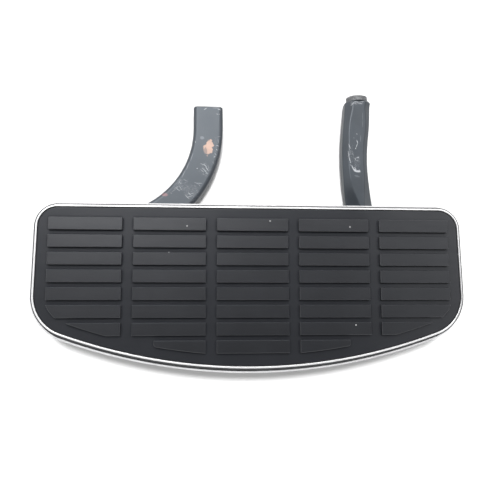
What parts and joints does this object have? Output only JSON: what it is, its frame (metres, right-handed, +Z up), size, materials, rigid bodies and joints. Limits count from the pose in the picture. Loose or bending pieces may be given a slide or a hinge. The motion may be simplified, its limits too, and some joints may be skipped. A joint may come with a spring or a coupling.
{
  "type": "motorcycle floorboard",
  "caption": "Half-moon rider floorboard with a block-tread rubber pad in a polished tray, folding on two black frame arms.",
  "frame": {"origin": "centre of the middle tread block's top face", "axes": "+X forward along the motorcycle, +Y inboard towards its frame, +Z up"},
  "size_m": [0.331, 0.2297, 0.0565],
  "materials": {
    "cast_aluminium": "polished",
    "tread_rubber": "satin",
    "black_paint": "satin",
    "zinc_steel": "satin",
    "bush_bronze": "satin",
    "stop_rubber": "matt"
  },
  "bodies": {
    "rear_arm": {"rear_arm": "black_paint", "rear_eye_bush": "bush_bronze"},
    "board": {"footboard_tray": "cast_aluminium", "tread_pad": "tread_rubber", "rear_hinge_pin": "zinc_steel", "rear_thrust_washer": "zinc_steel", "rear_spring_washer": "zinc_steel", "rear_pin_washer": "zinc_steel", "rear_pin_clip": "zinc_steel", "rear_stop_bumper": "stop_rubber", "rear_bank_sensor": "zinc_steel", "front_hinge_pin": "zinc_steel", "front_thrust_washer": "zinc_steel", "front_spring_washer": "zinc_steel", "front_pin_washer": "zinc_steel", "front_pin_clip": "zinc_steel", "front_stop_bumper": "stop_rubber", "front_bank_sensor": "zinc_steel"},
    "front_arm": {"front_arm": "black_paint", "front_eye_bush": "bush_bronze"}
  },
  "joints": [
    {"name": "board_fold", "type": "hinge", "parent": "rear_arm", "child": "board", "pos_m": [-0.1175, 0.0414, -0.027], "axis": [-1, 0, 0], "range_deg": [0, 60]},
    {"name": "front_arm_turn", "type": "hinge", "parent": "board", "child": "front_arm", "pos_m": [0.10025, 0.0414, -0.027], "axis": [-1, 0, 0], "range_deg": [-60, 0]}
  ],
  "couplings": [
    {"joint": "front_arm_turn", "follows": "board_fold", "ratio": -1}
  ]
}
